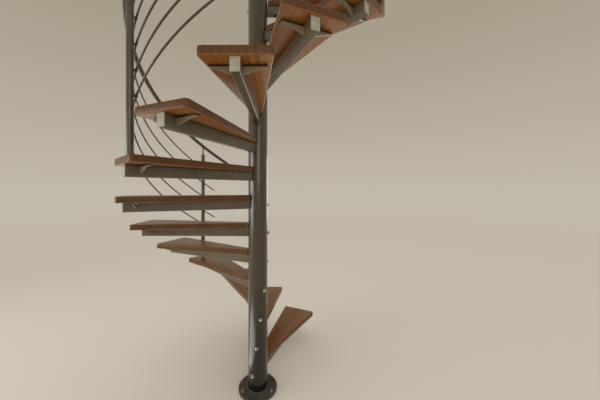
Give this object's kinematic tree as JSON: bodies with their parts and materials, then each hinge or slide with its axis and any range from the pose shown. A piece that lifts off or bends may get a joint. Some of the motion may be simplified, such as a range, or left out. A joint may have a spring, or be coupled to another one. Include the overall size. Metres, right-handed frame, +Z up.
{
  "type": "spiral staircase",
  "caption": "Spiral staircase with wooden wedge treads on steel arms round a floor-bolted steel column, and a balustrade of helical rods and a round handrail.",
  "frame": {"origin": "centre of the base plate's underside, on the floor in the column's axis", "axes": "+Z up along the column; -Y faces the viewer of the picture; the stair climbs counter-clockwise seen from above, its first tread at 65.74 degrees from +X"},
  "size_m": [1.6427, 1.6439, 3.888],
  "materials": {
    "plate_steel": "satin dark grey paint",
    "column_steel": "semi-gloss dark grey paint",
    "wood": "lacquered reddish-brown wood",
    "arm_steel": "satin grey paint",
    "rail_steel": "satin dark grey paint"
  },
  "bodies": {
    "root": {"base_plate": "plate_steel", "column": "column_steel", "column_cap": "column_steel", "tread_01": "wood", "tread_02": "wood", "tread_03": "wood", "tread_04": "wood", "tread_05": "wood", "tread_06": "wood", "tread_07": "wood", "tread_08": "wood", "tread_09": "wood", "tread_10": "wood", "tread_11": "wood", "tread_12": "wood", "tread_13": "wood", "tread_14": "wood", "landing_board": "wood", "arm_01": "arm_steel", "arm_02": "arm_steel", "arm_03": "arm_steel", "arm_04": "arm_steel", "arm_05": "arm_steel", "arm_06": "arm_steel", "arm_07": "arm_steel", "arm_08": "arm_steel", "arm_09": "arm_steel", "arm_10": "arm_steel", "arm_11": "arm_steel", "arm_12": "arm_steel", "arm_13": "arm_steel", "arm_14": "arm_steel", "landing_arm": "arm_steel", "post_04": "rail_steel", "post_08": "rail_steel", "post_12": "rail_steel", "post_14": "rail_steel", "rod_1": "rail_steel", "rod_2": "rail_steel", "rod_3": "rail_steel", "rod_4": "rail_steel", "rod_5": "rail_steel", "handrail": "rail_steel"}
  },
  "joints": []
}
